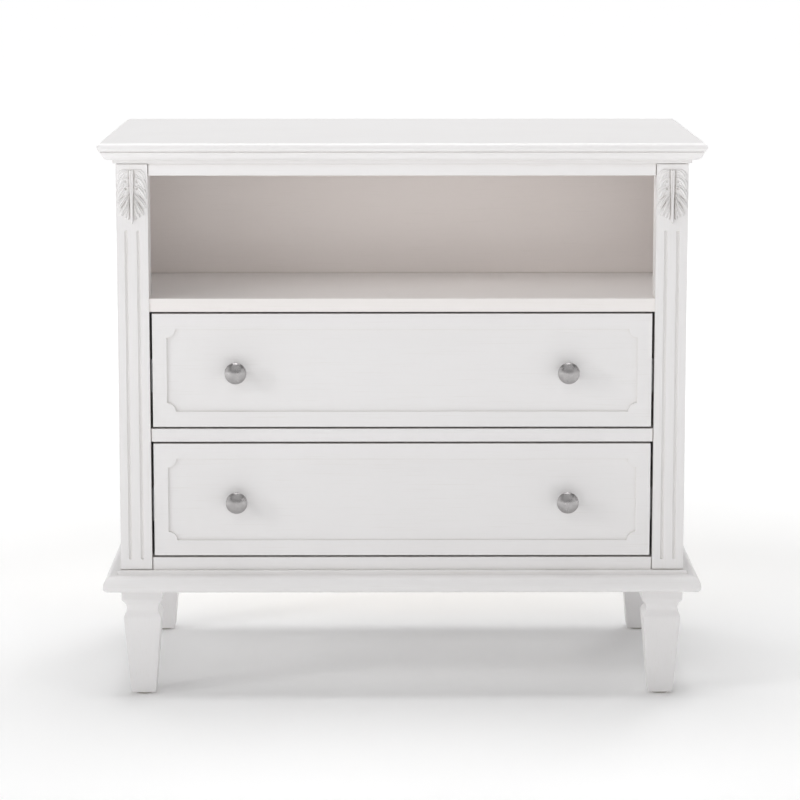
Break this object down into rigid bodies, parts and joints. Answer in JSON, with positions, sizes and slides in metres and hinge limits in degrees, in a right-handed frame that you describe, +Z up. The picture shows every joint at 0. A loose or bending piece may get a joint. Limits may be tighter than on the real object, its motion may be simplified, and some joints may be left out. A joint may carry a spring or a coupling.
{
  "type": "nightstand with drawers",
  "caption": "Painted nightstand with fluted, carved corner posts, an open cubby over drawers on ball-bearing slides, round metal knobs and square tapered legs.",
  "frame": {"origin": "on the floor, under the middle of the top", "axes": "+X to the right of a person facing the drawers, the drawers open towards -Y, +Z up"},
  "size_m": [0.8, 0.45, 0.75],
  "materials": {
    "white_paint": "satin off-white paint",
    "plain_wood": "clear-lacquered light wood and plywood",
    "satin_nickel": "satin nickel",
    "zinc_steel": "zinc plated",
    "glide_plastic": "moulded"
  },
  "bodies": {
    "case": {"top_panel": "white_paint", "top_moulding_front": "white_paint", "top_moulding_left": "white_paint", "top_moulding_right": "white_paint", "sub_top": "white_paint", "post_front_left": "white_paint", "post_front_right": "white_paint", "post_rear_left": "white_paint", "post_rear_right": "white_paint", "carved_leaf_left": "white_paint", "carved_leaf_right": "white_paint", "side_panel_left": "white_paint", "side_panel_right": "white_paint", "top_rail": "white_paint", "drawer_rail": "white_paint", "bottom_rail": "white_paint", "shelf": "white_paint", "cubby_back": "white_paint", "bottom_panel": "white_paint", "back_panel": "plain_wood", "base_moulding_front": "white_paint", "base_moulding_left": "white_paint", "base_moulding_right": "white_paint", "base_rail_front": "white_paint", "base_rail_rear": "white_paint", "base_rail_left": "white_paint", "base_rail_right": "white_paint", "leg_front_left": "white_paint", "leg_front_right": "white_paint", "leg_rear_left": "white_paint", "leg_rear_right": "white_paint", "foot_glides": "glide_plastic", "leg_bolts": "zinc_steel", "top_screws": "zinc_steel", "back_screws": "zinc_steel", "slide_packers": "plain_wood", "upper_slide_outers": "zinc_steel", "lower_slide_outers": "zinc_steel"},
    "upper_slide_middle": {"upper_slide_middles": "zinc_steel"},
    "lower_slide_middle": {"lower_slide_middles": "zinc_steel"},
    "upper_drawer": {"upper_drawer_face": "white_paint", "upper_drawer_box_front": "plain_wood", "upper_drawer_side_left": "plain_wood", "upper_drawer_side_right": "plain_wood", "upper_drawer_back": "plain_wood", "upper_drawer_bottom": "plain_wood", "upper_knob_left": "satin_nickel", "upper_knob_right": "satin_nickel", "upper_knob_screws": "zinc_steel", "upper_slide_inners": "zinc_steel"},
    "lower_drawer": {"lower_drawer_face": "white_paint", "lower_drawer_box_front": "plain_wood", "lower_drawer_side_left": "plain_wood", "lower_drawer_side_right": "plain_wood", "lower_drawer_back": "plain_wood", "lower_drawer_bottom": "plain_wood", "lower_knob_left": "satin_nickel", "lower_knob_right": "satin_nickel", "lower_knob_screws": "zinc_steel", "lower_slide_inners": "zinc_steel"}
  },
  "joints": [
    {"name": "upper_drawer_slide", "type": "slide", "parent": "case", "child": "upper_drawer", "axis": [0, -1, 0], "range_m": [0, 0.34]},
    {"name": "upper_slide_middle_travel", "type": "slide", "parent": "case", "child": "upper_slide_middle", "axis": [0, -1, 0], "range_m": [0, 0.17]},
    {"name": "lower_drawer_slide", "type": "slide", "parent": "case", "child": "lower_drawer", "axis": [0, -1, 0], "range_m": [0, 0.34]},
    {"name": "lower_slide_middle_travel", "type": "slide", "parent": "case", "child": "lower_slide_middle", "axis": [0, -1, 0], "range_m": [0, 0.17]}
  ],
  "couplings": [
    {"joint": "upper_slide_middle_travel", "follows": "upper_drawer_slide", "ratio": 0.5},
    {"joint": "lower_slide_middle_travel", "follows": "lower_drawer_slide", "ratio": 0.5}
  ]
}
